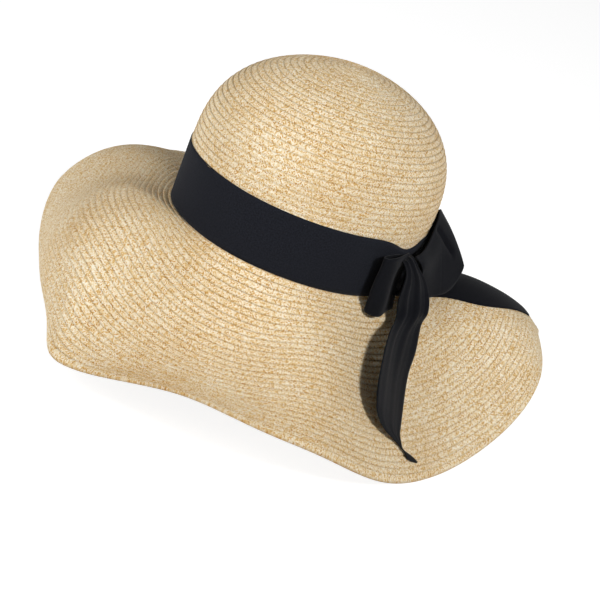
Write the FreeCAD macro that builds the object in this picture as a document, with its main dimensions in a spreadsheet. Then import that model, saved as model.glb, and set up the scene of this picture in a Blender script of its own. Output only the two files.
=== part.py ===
import FreeCAD, Part
import math
import os

import Sketcher

from FreeCAD import Placement, Rotation, Vector

doc = FreeCAD.newDocument("straw_sun_hat")
sheet = doc.addObject("Spreadsheet::Sheet", "Sizes")
sheet.Label = "sizes"

# Driving dimensions in millimetres, apart from the exponents of the dome.
# The head opening's centre is the origin, +Z runs up the crown, the front faces -Y
# and the wearer's left, where the bow sits, is +X.
SIZES = {
    "crown_breadth": 170.0,
    "crown_length": 202.0,
    "crown_height": 125.5,
    "shoulder_height": 42.4,
    "dome_fullness": 2.886,
    "dome_roundness": 1.81,
    "straw_thickness": 2.0,
    "opening_fall_left": 2.4,
    "opening_fall_back": 3.7,
    "button_radius": 9.0,
    "brim_width": 126.0,
    "hem_width": 7.0,
    "hem_thickness": 3.2,
    "sewn_gap": 0.3,
    "sweatband_height": 28.0,
    "sweatband_thickness": 0.8,
    "sweatband_lift": 1.5,
    "ribbon_width": 42.0,
    "ribbon_thickness": 0.7,
    "ribbon_lift": 1.0,
    "knot_length": 17.0,
    "knot_height": 34.0,
    "knot_depth": 11.0,
    "knot_wrap": 1.2,
    "knot_corner": 3.5,
    "bow_azimuth": -8.0,
    "loop_pinch": 4.2,
    "loop_fold": 6.0,
    "front_loop_depth": 5.0,
    "back_loop_depth": 6.0,
}

for row, (alias, value) in enumerate(SIZES.items(), start=1):
    sheet.set(f"A{row}", alias.replace("_", " "))
    sheet.set(f"B{row}", str(value))
    sheet.setAlias(f"B{row}", alias)
doc.recompute()


def size(alias):
    return float(sheet.get(alias))


halfBreadth = size("crown_breadth") / 2
halfLength = size("crown_length") / 2
straw = size("straw_thickness")
gap = size("sewn_gap")
ribbon = size("ribbon_thickness")
parts = []


def addShape(name, shape):
    piece = doc.addObject("Part::Feature", name)
    piece.Label = name
    piece.Shape = shape
    piece.Placement = Placement()
    parts.append(piece)
    return piece


# ---- the head opening: a flat oval that leans a little down to the left and the back ----

def openingHeight(x, y):
    fallLeft = size("opening_fall_left") * x / halfBreadth
    fallBack = size("opening_fall_back") * y / halfLength
    return -fallLeft - fallBack


def ovalPoint(azimuth, clear):
    """Point and outward normal of the crown's oval, moved out by clear."""
    angle = math.radians(azimuth)
    onOval = Vector(halfBreadth * math.cos(angle), halfLength * math.sin(angle), 0)
    normal = Vector(halfLength * math.cos(angle), halfBreadth * math.sin(angle), 0)
    normal.normalize()
    return onOval + normal * clear, normal


def openingRotation():
    normal = Vector(
        size("opening_fall_left") / halfBreadth, size("opening_fall_back") / halfLength, 1
    )
    return Rotation(Vector(0, 0, 1), normal)


# ---- solids of sewn straw and ribbon: a smooth surface, its twin on the back, and the edges ----

def sheetNormals(grid, closed):
    """Unit normals of a grid of points. The columns run round when the grid is closed."""
    rowCount = len(grid)
    columnCount = len(grid[0])
    normals = []
    for i in range(rowCount):
        line = []
        for j in range(columnCount):
            nextRow = grid[min(i + 1, rowCount - 1)][j]
            lastRow = grid[max(i - 1, 0)][j]
            if closed:
                nextColumn = grid[i][(j + 1) % columnCount]
                lastColumn = grid[i][j - 1]
            else:
                nextColumn = grid[i][min(j + 1, columnCount - 1)]
                lastColumn = grid[i][max(j - 1, 0)]
            normal = (nextRow - lastRow).cross(nextColumn - lastColumn)
            normal.normalize()
            line.append(normal)
        normals.append(line)
    return normals


def moved(grid, normals, distance):
    return [
        [point + normal * distance for point, normal in zip(points, directions)]
        for points, directions in zip(grid, normals)
    ]


def solidFromFaces(faces):
    shell = Part.makeShell(faces)
    shell.sewShape(0.01)
    solid = Part.makeSolid(shell)
    if solid.Volume < 0:
        solid.reverse()
    return solid


def ringWire(points):
    """Smooth closed row. Even parameters let the rows of a ring pair up point by point."""
    curve = Part.BSplineCurve()
    steps = list(range(len(points) + 1))
    curve.interpolate(Points=points, PeriodicFlag=True, Parameters=steps)
    return Part.Wire(curve.toShape())


def ringSolid(grid, thickness):
    """Solid between a ring of smooth rows and its offset along the normals."""
    normals = sheetNormals(grid, closed=True)
    topWires = [ringWire(points) for points in grid]
    lowWires = [ringWire(points) for points in moved(grid, normals, thickness)]
    faces = Part.makeLoft(topWires, False, False).Faces
    faces += Part.makeLoft(lowWires, False, False).Faces
    faces += Part.makeLoft([topWires[0], lowWires[0]], False, True).Faces
    faces += Part.makeLoft([topWires[-1], lowWires[-1]], False, True).Faces
    return solidFromFaces(faces)


def meanSteps(grid):
    """Distances along the rows of a grid, averaged over the rows, so that all rows pair up."""
    steps = [0]
    for j in range(1, len(grid[0])):
        lengths = [(line[j] - line[j - 1]).Length for line in grid]
        steps.append(steps[-1] + sum(lengths) / len(lengths))
    return steps


def openWire(points, steps):
    curve = Part.BSplineCurve()
    curve.interpolate(Points=points, Parameters=steps)
    return Part.Wire(curve.toShape())


def strip(grid, thickness):
    """Solid between an open patch of cloth and its offset along the normals."""
    normals = sheetNormals(grid, closed=False)
    steps = meanSteps(grid)
    patches = []
    for points in (grid, moved(grid, normals, thickness)):
        wires = [openWire(line, steps) for line in points]
        patches.append(Part.makeLoft(wires, False, len(wires) == 2).Faces[0])
    surfaces = [patch.Surface for patch in patches]
    faces = list(patches)
    for end in (0, 1):
        edges = [surface.uIso(surface.bounds()[end]).toShape() for surface in surfaces]
        sides = [surface.vIso(surface.bounds()[end + 2]).toShape() for surface in surfaces]
        for pair in (edges, sides):
            faces += Part.makeLoft([Part.Wire(edge) for edge in pair], False, True).Faces
    return solidFromFaces(faces)


# ---- crown: upright oval wall and a full dome, open at the head opening ----

def domeRadius(height):
    rise = (height - size("shoulder_height")) / (size("crown_height") - size("shoulder_height"))
    return halfBreadth * (1 - rise ** size("dome_fullness")) ** (1 / size("dome_roundness"))


def domeHeight(radius):
    share = (radius / halfBreadth) ** size("dome_roundness")
    rise = size("crown_height") - size("shoulder_height")
    return size("shoulder_height") + rise * (1 - share) ** (1 / size("dome_fullness"))


def crownProfile():
    """Even steps (radius, height) from the foot of the wall up to the button's seat."""
    shoulder = size("shoulder_height")
    rise = size("crown_height") - shoulder
    seat = size("button_radius") + 3 * gap
    points = [Vector(halfBreadth, 0, shoulder * i / 3) for i in range(4)]
    for step in range(1, 12):
        height = shoulder + rise * math.sin(math.radians(90 * step / 12))
        if domeRadius(height) > 1.5 * seat:
            points.append(Vector(domeRadius(height), 0, height))
    points.append(Vector(seat, 0, domeHeight(seat)))
    curve = Part.BSplineCurve()
    curve.interpolate(points)
    return [(point.x, point.z) for point in curve.discretize(Number=11)]


def crownRing(radius, height, count):
    """The oval row at this radius and height. The foot of the wall follows the head opening."""
    ring = []
    shrink = halfBreadth - radius
    nearFoot = max(0, 1 - height / size("shoulder_height"))
    for i in range(count):
        rim = ovalPoint(360 * i / count, 0)[0]
        stretch = 1 - shrink / halfBreadth
        level = height + openingHeight(rim.x, rim.y) * nearFoot
        ring.append(Vector(rim.x * stretch, rim.y * stretch, level))
    return ring


crownGrid = [crownRing(radius, height, 16) for radius, height in crownProfile()]
crown = addShape("crown", ringSolid(crownGrid, straw))

# ---- crown_button: the coil that the braid starts from, flush in the crown's top ----

def bodyWithSketch(name, planeRole):
    body = doc.addObject("PartDesign::Body", name)
    body.Label = name
    sketch = body.newObject("Sketcher::SketchObject", name + "_sketch")
    plane = [item for item in body.Origin.OriginFeatures if item.Role == planeRole][0]
    sketch.AttachmentSupport = [(plane, "")]
    sketch.MapMode = "FlatFace"
    return body, sketch


def addDistance(sketch, kind, element, name, expression):
    value = sketch.Geometry[element].length()
    index = sketch.addConstraint(Sketcher.Constraint(kind, element, 1, element, 2, value))
    sketch.renameConstraint(index, name)
    sketch.setExpression("Constraints." + name, expression)


button, buttonSketch = bodyWithSketch("crown_button", "XZ_Plane")
radius = size("button_radius")
buttonCorners = [
    Vector(0, -straw, 0), Vector(radius, -straw, 0), Vector(radius, 0, 0), Vector(0, 0, 0)
]
for i, corner in enumerate(buttonCorners):
    buttonSketch.addGeometry(Part.LineSegment(corner, buttonCorners[(i + 1) % 4]), False)
for i in range(4):
    buttonSketch.addConstraint(Sketcher.Constraint("Coincident", i, 2, (i + 1) % 4, 1))
buttonSketch.addConstraint(Sketcher.Constraint("Horizontal", 0))
buttonSketch.addConstraint(Sketcher.Constraint("Vertical", 1))
buttonSketch.addConstraint(Sketcher.Constraint("Horizontal", 2))
buttonSketch.addConstraint(Sketcher.Constraint("PointOnObject", 0, 1, -2))
buttonSketch.addConstraint(Sketcher.Constraint("PointOnObject", 3, 1, -1))
buttonSketch.addConstraint(Sketcher.Constraint("PointOnObject", 3, 1, -2))
addDistance(buttonSketch, "DistanceX", 0, "radius", "Sizes.button_radius")
addDistance(buttonSketch, "DistanceY", 1, "depth", "Sizes.straw_thickness")
coil = button.newObject("PartDesign::Revolution", "button_coil")
coil.Profile = buttonSketch
coil.ReferenceAxis = (buttonSketch, ["V_Axis"])
coil.Angle = 360
doc.recompute()
button.Placement = Placement(Vector(0, 0, domeHeight(radius)), Rotation())
parts.append(button)


# ---- sweatband and ribbon_band: oval bands that run level with the head opening ----

def ovalPrism(name, clearance, height):
    """Oval prism round the crown's oval, larger by clearance, standing on the opening's plane."""
    ellipse = doc.addObject("Part::Ellipse", name + "_oval")
    ellipse.setExpression("MajorRadius", f"Sizes.crown_length / 2 + {clearance}")
    ellipse.setExpression("MinorRadius", f"Sizes.crown_breadth / 2 + {clearance}")
    prism = doc.addObject("Part::Extrusion", name)
    prism.Base = ellipse
    prism.DirMode = "Custom"
    prism.Dir = Vector(0, 0, 1)
    prism.Solid = True
    prism.setExpression("LengthFwd", height)
    return ellipse, prism


def addBand(name, inside, outside, height, lift):
    outerOval, outerPrism = ovalPrism(name + "_outer", outside, height)
    innerOval, innerPrism = ovalPrism(name + "_inner", inside, height)
    for oval in (outerOval, innerOval):
        turn = Rotation(Vector(0, 0, 1), 90)
        oval.Placement = Placement(Vector(0, 0, size(lift)), openingRotation() * turn)
    band = doc.addObject("Part::Cut", name)
    band.Label = name
    band.Base = outerPrism
    band.Tool = innerPrism
    parts.append(band)
    return band


inWall = "(Sizes.straw_thickness + Sizes.sewn_gap)"
sweatband = addBand(
    "sweatband",
    f"0 - {inWall} - Sizes.sweatband_thickness",
    f"0 - {inWall}",
    "Sizes.sweatband_height",
    "sweatband_lift",
)
ribbonBand = addBand(
    "ribbon_band",
    "Sizes.sewn_gap",
    "Sizes.sewn_gap + Sizes.ribbon_thickness",
    "Sizes.ribbon_width",
    "ribbon_lift",
)

# ---- brim: a wide wavy ring, drawn as ribs that bend along their length ----
# Each rib: azimuth, droop at the crown, droop at the rim, sideways lean, all in degrees.
BRIM_RIBS = [
    (0, 23, 51, 10),
    (15, -19, 51, 9),
    (30, -28, 50, 12),
    (48, 31, 4, 4),
    (70, 27, 64, 2),
    (92, 35, 51, 2),
    (115, 20, 45, -4),
    (140, 7, 24, -5),
    (165, -5, 40, -17),
    (188, -16, 59, -23),
    (207, -2, 64, -34),
    (224, -12, 103, -27),
    (240, -14, 106, -4),
    (262, 34, 41, -9),
    (286, 79, -21, -9),
    (312, 34, 20, -11),
    (338, 50, 39, -5),
]

ribCurve = Part.BSplineCurve()
ribCurve.interpolate(
    Points=[Vector(*rib[1:]) for rib in BRIM_RIBS],
    PeriodicFlag=True,
    Parameters=[rib[0] for rib in BRIM_RIBS] + [360],
)


def brimPoint(azimuth, reach):
    """Point of the brim's upper face. Reach is 0 at the crown and 1 at the rim."""
    rib = ribCurve.value(azimuth % 360)
    start, end, lean = (math.radians(angle) for angle in rib)
    bend = end - start
    if abs(bend) < 1e-6:
        bend = 1e-6
    droop = start + bend * reach
    run = size("brim_width") * (math.sin(droop) - math.sin(start)) / bend
    fall = size("brim_width") * (math.cos(droop) - math.cos(start)) / bend
    root, normal = ovalPoint(azimuth, 0)
    tangent = Vector(-normal.y, normal.x, 0)
    point = root + normal * (run * math.cos(lean)) + tangent * (run * math.sin(lean))
    point.z = fall + openingHeight(root.x, root.y) * (1 - reach) ** 2
    return point


def brimNormal(azimuth, reach):
    step = 0.01
    along = brimPoint(azimuth, reach + step) - brimPoint(azimuth, reach)
    around = brimPoint(azimuth + 1, reach) - brimPoint(azimuth - 1, reach)
    normal = along.cross(around)
    normal.normalize()
    return normal


def brimRing(reaches, count):
    return [
        [brimPoint(360 * i / count, reach) for i in range(count)]
        for reach in reaches
    ]


def evenSteps(low, high, count):
    return [low + (high - low) * i / count for i in range(count + 1)]


hemReach = 1 - size("hem_width") / size("brim_width")
brimReach = hemReach - 2 * gap / size("brim_width")
rootReach = gap / size("brim_width")
brimGrid = brimRing(evenSteps(rootReach, brimReach, 5), 40)
brim = addShape("brim", ringSolid(brimGrid, -straw))
hemGrid = brimRing(evenSteps(hemReach, 1, 2), 40)
hemThickness = size("hem_thickness")
hemGrid = moved(hemGrid, sheetNormals(hemGrid, closed=True), (hemThickness - straw) / 2)
brimEdge = addShape("brim_edge", ringSolid(hemGrid, -hemThickness))

# ---- bow: a wrapped knot, two loops and two tails of one ribbon ----
# The bow's own axes start at the knot's middle: out from the crown, along it to the back, up.
knotClear = 2 * gap + ribbon + size("knot_depth") / 2
knotMiddle, bowOut = ovalPoint(size("bow_azimuth"), knotClear)
knotMiddle.z = openingHeight(knotMiddle.x, knotMiddle.y) + size("ribbon_lift")
knotMiddle.z += size("ribbon_width") / 2
bowAlong = Vector(-bowOut.y, bowOut.x, 0)
bowUp = Vector(0, 0, 1)


def bowPoint(out, along, up):
    return knotMiddle + bowOut * out + bowAlong * along + bowUp * up


knot, knotSketch = bodyWithSketch("bow_knot", "XZ_Plane")


def addKnotOutline(depth, height, corner):
    """A rounded rectangle round the origin, as four lines and four corner arcs."""
    x = depth / 2
    z = height / 2
    inset = corner * (1 - math.sqrt(0.5))
    for sx, sz in ((1, 1), (-1, 1), (-1, -1), (1, -1)):
        fromSide = Vector(sx * x, sz * (z - corner), 0)
        fromEnd = Vector(sx * (x - corner), sz * z, 0)
        middle = Vector(sx * (x - inset), sz * (z - inset), 0)
        ends = (fromSide, fromEnd) if sx * sz > 0 else (fromEnd, fromSide)
        knotSketch.addGeometry(Part.Arc(ends[0], middle, ends[1]), False)
    corners = [
        (Vector(x - corner, z, 0), Vector(corner - x, z, 0)),
        (Vector(-x, z - corner, 0), Vector(-x, corner - z, 0)),
        (Vector(corner - x, -z, 0), Vector(x - corner, -z, 0)),
        (Vector(x, corner - z, 0), Vector(x, z - corner, 0)),
    ]
    for a, b in corners:
        knotSketch.addGeometry(Part.LineSegment(a, b), False)


wrap = size("knot_wrap")
addKnotOutline(size("knot_depth"), size("knot_height"), size("knot_corner"))
addKnotOutline(
    size("knot_depth") - 2 * wrap, size("knot_height") - 2 * wrap, size("knot_corner") - wrap
)
knotPad = knot.newObject("PartDesign::Pad", "knot_wrap_pad")
knotPad.Profile = knotSketch
knotPad.setExpression("Length", "Sizes.knot_length")
knotPad.Midplane = True
knotTurn = Rotation(Vector(1, 0, 0), bowOut)
knot.Placement = Placement(knotMiddle, knotTurn)
parts.append(knot)


def loopPath(length, depth):
    """Steps along a loop, (share of its length, side): out, round the fold and back."""
    foldHalf = size("loop_fold") / 2
    straight = length - foldHalf
    path = []
    for i in range(4):
        share = i / 4
        belly = depth / 2 * math.sin(math.pi * share) ** 2
        side = size("loop_pinch") / 2 * (1 - share) + foldHalf * share + belly
        path.append((straight * share / length, side))
    for angle in (0, 45, 90):
        turn = math.radians(angle)
        reach = straight + foldHalf * math.sin(turn)
        path.append((reach / length, foldHalf * math.cos(turn)))
    return path + [(share, -side) for share, side in reversed(path[:-1])]


def bowLoop(name, spec, depth):
    """A flattened loop of ribbon between its upper and its lower edge, in the bow's own axes."""
    grid = []
    length = abs(spec["foldTop"][1] - spec["knotTop"][1])
    for edge, widening in (("Top", 1), ("Foot", -1)):
        start = spec["knot" + edge]
        end = spec["fold" + edge]
        line = []
        for share, side in loopPath(length, depth):
            middle = 4 * share * (1 - share)
            out, along, up = (a + (b - a) * share for a, b in zip(start, end))
            out += spec["bulge"] * middle + side
            up += spec["flare"] * middle * widening
            line.append(bowPoint(out, along, up))
        grid.append(line)
    return addShape(name, strip(grid, -spec["inward"] * ribbon))


knotFace = size("knot_depth") / 2 + gap
knotEnd = size("knot_length") / 2 + 2 * gap
pinchedHalf = size("knot_height") / 2 - size("knot_wrap") - gap
frontLoopSpec = {
    "knotTop": (0, -knotEnd, pinchedHalf),
    "knotFoot": (0.5, -knotEnd, -pinchedHalf),
    "foldTop": (-2.3, -36, 14),
    "foldFoot": (-2.3, -36, -26),
    "bulge": 2.0,
    "flare": 0.5,
    "inward": 1,
}
backLoopSpec = {
    "knotTop": (0, knotEnd, pinchedHalf),
    "knotFoot": (1, knotEnd, -pinchedHalf),
    "foldTop": (-23.0, 67, 29),
    "foldFoot": (10.0, 67, 0),
    "bulge": 7.0,
    "flare": 6.0,
    "inward": -1,
}
frontLoop = bowLoop("bow_front_loop", frontLoopSpec, size("front_loop_depth"))
backLoop = bowLoop("bow_back_loop", backLoopSpec, size("back_loop_depth"))

# Each tail leaves the knot as pinched rows in the bow's own axes, from its lower to its upper edge.
# Over the brim each station gives azimuth, reach and clearance for both edges, and the arch between.
FRONT_TAIL_ROOT = [
    ((knotFace, -knotEnd, -4), (knotFace, knotEnd, -4)),
    ((knotFace + 2, -knotEnd - 3, -15), (knotFace + 8, knotEnd + 4, -12)),
]
FRONT_TAIL = [
    ((-16, 0.145, 10), (0, 0.21, 2.5), 0),
    ((-24, 0.315, 13), (-8, 0.33, 2.5), 0),
    ((-27, 0.45, 10), (-12.7, 0.44, 2.5), 0),
    ((-29, 0.575, 6), (-16, 0.57, 2), 1),
    ((-28.5, 0.705, 5), (-19.7, 0.69, 2), 1),
    ((-24.5, 0.785, 3), (-20.5, 0.775, 1.5), 0),
    ((-20.5, 0.85, 2), (-18, 0.845, 1), 0),
]
BACK_TAIL_ROOT = [
    ((knotFace + 2, knotEnd, -pinchedHalf - 2), (-2, knotEnd, -pinchedHalf - 2)),
]
BACK_TAIL = [
    ((3.5, 0.12, 4), (6, 0.045, 2), 0),
    ((9, 0.15, 1.5), (15, 0.06, 1), 0),
    ((12, 0.225, 1), (24, 0.15, 1), 1),
    ((13.5, 0.31, 1), (30, 0.26, 1), 2.5),
    ((15.2, 0.42, 1), (33, 0.40, 1), 3.5),
    ((17.8, 0.53, 1), (33, 0.54, 1), 3),
    ((21, 0.64, 1), (32, 0.65, 1), 2),
    ((24, 0.74, 0.8), (29, 0.75, 0.8), 0.5),
    ((25.3, 0.79, 0.6), (27, 0.80, 0.6), 0),
]


def tailRow(share, lower, upper, arch):
    azimuth, reach, clearance = (a + (b - a) * share for a, b in zip(lower, upper))
    clearance += arch * 4 * share * (1 - share)
    return brimPoint(azimuth, reach) + brimNormal(azimuth, reach) * clearance


def bowTail(name, roots, stations):
    """A ribbon end from the knot out over the brim."""
    shares = evenSteps(0, 1, 4)
    grid = []
    for lower, upper in roots:
        ends = bowPoint(*lower), bowPoint(*upper)
        grid.append([ends[0] + (ends[1] - ends[0]) * share for share in shares])
    for station in stations:
        grid.append([tailRow(share, *station) for share in shares])
    return addShape(name, strip(grid, ribbon))


frontTail = bowTail("bow_front_tail", FRONT_TAIL_ROOT, FRONT_TAIL)
backTail = bowTail("bow_back_tail", BACK_TAIL_ROOT, BACK_TAIL)

# ---- checks and files ----

doc.recompute()
for item in doc.Objects:
    if "Invalid" in item.State or "Error" in item.State:
        raise RuntimeError(item.Label + " did not rebuild")
os.makedirs("parts", exist_ok=True)
for piece in parts:
    if piece.Shape.isNull() or not piece.Shape.isValid():
        raise RuntimeError(piece.Label + " has no valid shape")
    piece.Shape.exportStep(os.path.join("parts", piece.Label + ".step"))
    print(piece.Label, len(piece.Shape.Solids), round(piece.Shape.Volume))
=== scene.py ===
import bpy
import math
import numpy as np
from mathutils import Matrix, Vector


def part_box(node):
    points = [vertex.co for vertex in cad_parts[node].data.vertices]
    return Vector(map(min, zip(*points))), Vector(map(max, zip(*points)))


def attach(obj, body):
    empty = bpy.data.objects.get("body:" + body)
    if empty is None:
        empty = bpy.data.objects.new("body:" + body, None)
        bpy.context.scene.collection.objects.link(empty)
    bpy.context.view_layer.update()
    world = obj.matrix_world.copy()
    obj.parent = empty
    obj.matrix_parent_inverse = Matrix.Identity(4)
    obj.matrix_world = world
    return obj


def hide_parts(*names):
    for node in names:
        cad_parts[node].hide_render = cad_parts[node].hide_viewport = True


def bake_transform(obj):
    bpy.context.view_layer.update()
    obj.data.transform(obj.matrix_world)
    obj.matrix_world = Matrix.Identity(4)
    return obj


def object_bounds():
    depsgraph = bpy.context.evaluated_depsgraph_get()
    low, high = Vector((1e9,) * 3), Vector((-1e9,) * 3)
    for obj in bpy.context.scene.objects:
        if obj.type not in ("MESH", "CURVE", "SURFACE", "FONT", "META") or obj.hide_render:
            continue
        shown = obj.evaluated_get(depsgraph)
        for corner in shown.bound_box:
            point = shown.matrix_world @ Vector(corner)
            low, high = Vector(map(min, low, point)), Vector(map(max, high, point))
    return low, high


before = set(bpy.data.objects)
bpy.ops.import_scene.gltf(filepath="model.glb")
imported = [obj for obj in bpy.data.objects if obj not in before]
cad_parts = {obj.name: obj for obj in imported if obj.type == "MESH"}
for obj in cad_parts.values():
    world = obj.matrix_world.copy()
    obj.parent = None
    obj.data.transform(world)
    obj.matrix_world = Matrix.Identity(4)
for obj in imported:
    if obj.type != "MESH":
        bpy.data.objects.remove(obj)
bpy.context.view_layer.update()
print("frame loaded")

# the hat's own shape, in metres and degrees; the oval's size comes from the frame
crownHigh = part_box("crown")[1]
hat = {
    "halfBreadth": crownHigh[0],
    "halfLength": crownHigh[1],
    "crownHeight": 0.1255,
    "shoulder": 0.0424,
    "fullness": 2.886,
    "roundness": 1.81,
    "fallLeft": 0.0024,
    "fallBack": 0.0037,
    "profileSteps": 400,
    "buttonRadius": 0.009,
    "brimWidth": 0.126,
    "rowPitch": 0.0043,
    "hemWidth": 0.007,
    # the brim gives a little under the back tail of the bow
    "pressAzimuth": 31.0,
    "pressSpread": 15.0,
    "pressDepth": 0.0045,
    "pressFrom": 0.12,
    "pressRun": 0.8,
    # azimuth, droop at the crown, droop at the rim and sideways lean of each rib of the brim
    "brimRibs": [
        (0, 23, 51, 10), (15, -19, 51, 9), (30, -28, 50, 12), (48, 31, 4, 4),
        (70, 27, 64, 2), (92, 35, 51, 2), (115, 20, 45, -4), (140, 7, 24, -5),
        (165, -5, 40, -17), (188, -16, 59, -23), (207, -2, 64, -34), (224, -12, 103, -27),
        (240, -14, 106, -4), (262, 34, 41, -9), (286, 79, -21, -9), (312, 34, 20, -11),
        (338, 50, 39, -5),
    ],
}


def periodicSpline(knots, values, period=360.0):
    # a smooth closed curve through values, as a function of the angle
    knots = np.array(knots, float)
    values = np.array(values, float)
    count = len(knots)
    gaps = np.diff(np.append(knots, knots[0] + period))
    system = np.zeros((count, count))
    right = np.zeros_like(values)
    for i in range(count):
        before, after = gaps[i - 1], gaps[i]
        system[i, i - 1] += before
        system[i, i] += 2 * (before + after)
        system[i, (i + 1) % count] += after
        rise = (values[(i + 1) % count] - values[i]) / after
        right[i] = 6 * (rise - (values[i] - values[i - 1]) / before)
    bends = np.linalg.solve(system, right)

    def evaluate(angle):
        angle = (np.asarray(angle, float) - knots[0]) % period + knots[0]
        i = np.clip(np.searchsorted(knots, angle, side="right") - 1, 0, count - 1)
        j = (i + 1) % count
        step = gaps[i][..., None]
        after = ((angle - knots[i]) / gaps[i])[..., None]
        before = 1 - after
        curved = (before ** 3 - before) * bends[i] + (after ** 3 - after) * bends[j]
        return before * values[i] + after * values[j] + curved * step ** 2 / 6

    return evaluate


ribSpline = periodicSpline(
    [rib[0] for rib in hat["brimRibs"]], [rib[1:] for rib in hat["brimRibs"]]
)


def openingHeight(x, y):
    return -hat["fallLeft"] * x / hat["halfBreadth"] - hat["fallBack"] * y / hat["halfLength"]


def ovalPoint(azimuth, clear=0.0):
    angle = np.radians(azimuth)
    onOval = np.stack(
        [hat["halfBreadth"] * np.cos(angle), hat["halfLength"] * np.sin(angle), 0 * angle], -1
    )
    normal = np.stack(
        [hat["halfLength"] * np.cos(angle), hat["halfBreadth"] * np.sin(angle), 0 * angle], -1
    )
    normal /= np.linalg.norm(normal, axis=-1, keepdims=True)
    return onOval + normal * np.asarray(clear)[..., None], normal


def nearAzimuth(azimuth, middle, spread):
    # 1 at the middle azimuth, fading to 0 on both sides
    return np.exp(-(((azimuth - middle + 180) % 360 - 180) / spread) ** 2)


def brimPoint(azimuth, reach):
    # a point of the brim's upper face, reach 0 at the crown and 1 at the rim
    azimuth, reach = np.broadcast_arrays(np.asarray(azimuth, float), np.asarray(reach, float))
    start, end, lean = np.moveaxis(np.radians(ribSpline(azimuth)), -1, 0)
    bend = end - start
    bend = np.where(np.abs(bend) < 1e-6, 1e-6, bend)
    droop = start + bend * reach
    run = hat["brimWidth"] * (np.sin(droop) - np.sin(start)) / bend
    fall = hat["brimWidth"] * (np.cos(droop) - np.cos(start)) / bend
    root, normal = ovalPoint(azimuth)
    tangent = np.stack([-normal[..., 1], normal[..., 0], 0 * run], -1)
    point = root + normal * (run * np.cos(lean))[..., None]
    point += tangent * (run * np.sin(lean))[..., None]
    point[..., 2] = fall + openingHeight(root[..., 0], root[..., 1]) * (1 - reach) ** 2
    share = np.clip((reach - hat["pressFrom"]) / hat["pressRun"], 0, 1)
    pressed = nearAzimuth(azimuth, hat["pressAzimuth"], hat["pressSpread"])
    point[..., 2] -= hat["pressDepth"] * pressed * np.sin(math.pi * share) ** 2
    return point


def makeProfile():
    # the crown's outline from the foot to the tip: radius and height against the length along it
    rise = np.sin(np.radians(np.linspace(0, 90, hat["profileSteps"])))
    radius = hat["halfBreadth"] * (1 - rise ** hat["fullness"]) ** (1 / hat["roundness"])
    height = hat["shoulder"] + (hat["crownHeight"] - hat["shoulder"]) * rise
    radius = np.insert(radius, 0, hat["halfBreadth"])
    height = np.insert(height, 0, 0.0)
    length = np.append(0, np.cumsum(np.hypot(np.diff(radius), np.diff(height))))
    return length, radius, height


profileLength, profileRadius, profileHeight = makeProfile()
crownLength = profileLength[-1]


def crownPoint(azimuth, along):
    # a point of the crown's outside, along = length up the profile from the foot
    azimuth, along = np.broadcast_arrays(np.asarray(azimuth, float), np.asarray(along, float))
    radius = np.interp(along, profileLength, profileRadius)
    height = np.interp(along, profileLength, profileHeight)
    stretch = radius / hat["halfBreadth"]
    rim = ovalPoint(azimuth)[0]
    level = openingHeight(rim[..., 0], rim[..., 1]) * np.clip(1 - height / hat["shoulder"], 0, 1)
    return np.stack([rim[..., 0] * stretch, rim[..., 1] * stretch, height + level], -1)


# ---- small tools for meshes ----

def unit(vectors):
    return vectors / np.maximum(np.linalg.norm(vectors, axis=-1, keepdims=True), 1e-12)


def signedPower(value, power):
    return np.sign(value) * np.abs(value) ** power


def addMesh(name, points, faces, uvs, material, body, replaced):
    # a smooth mesh that rides on a body and stands for CAD nodes; a blended piece gives no body
    mesh = bpy.data.meshes.new(name)
    mesh.from_pydata(points.reshape(-1, 3).tolist(), [], faces.tolist())
    layer = mesh.uv_layers.new(name="clothMap")
    layer.data.foreach_set("uv", np.asarray(uvs, np.float32).ravel())
    mesh.polygons.foreach_set("use_smooth", [True] * len(mesh.polygons))
    mesh.materials.append(material)
    mesh.update()
    piece = bpy.data.objects.new(name, mesh)
    bpy.context.scene.collection.objects.link(piece)
    if body:
        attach(piece, body)
    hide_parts(*replaced)
    return piece


def tubeMesh(rings, lengths, acrossUv):
    # rings of points along a strip, each a closed cross-section
    count, around = rings.shape[:2]
    i, k = np.meshgrid(np.arange(count - 1), np.arange(around), indexing="ij")
    nextK = (k + 1) % around
    corners = [(i, k), (i, nextK), (i + 1, nextK), (i + 1, k)]
    faces = np.stack([row * around + column for row, column in corners], -1).reshape(-1, 4)
    u = np.stack([lengths[row] for row, column in corners], -1)
    v = np.stack([acrossUv[row, column] for row, column in corners], -1)
    return faces, np.stack([u, v], -1).reshape(-1, 2)


# the rounded cross-section that every braid row has, and how its directions are measured
rowSection = {"bulge": 0.75, "swell": 0.9, "azimuthStep": 0.4}


def rowAxes(point, azimuths, reaches, probe):
    # places along a row, the ways across and outward, and how far a unit of reach goes across
    step = rowSection["azimuthStep"]
    here = point(azimuths, reaches)
    along = unit(point(azimuths + step, reaches) - point(azimuths - step, reaches))
    across = (point(azimuths, reaches + probe) - point(azimuths, reaches - probe)) / (2 * probe)
    across = across - along * (across * along).sum(-1, keepdims=True)
    stretch = np.linalg.norm(across, axis=-1)
    across = unit(across)
    return here, across, unit(np.cross(across, along)), stretch


def sectionShape(around, bulgePower):
    # one closed cross-section, from -1 to 1 across and outward
    turn = 2 * math.pi * (np.arange(around) + 0.5) / around
    return signedPower(np.cos(turn), bulgePower), signedPower(np.sin(turn), rowSection["swell"])


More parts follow.
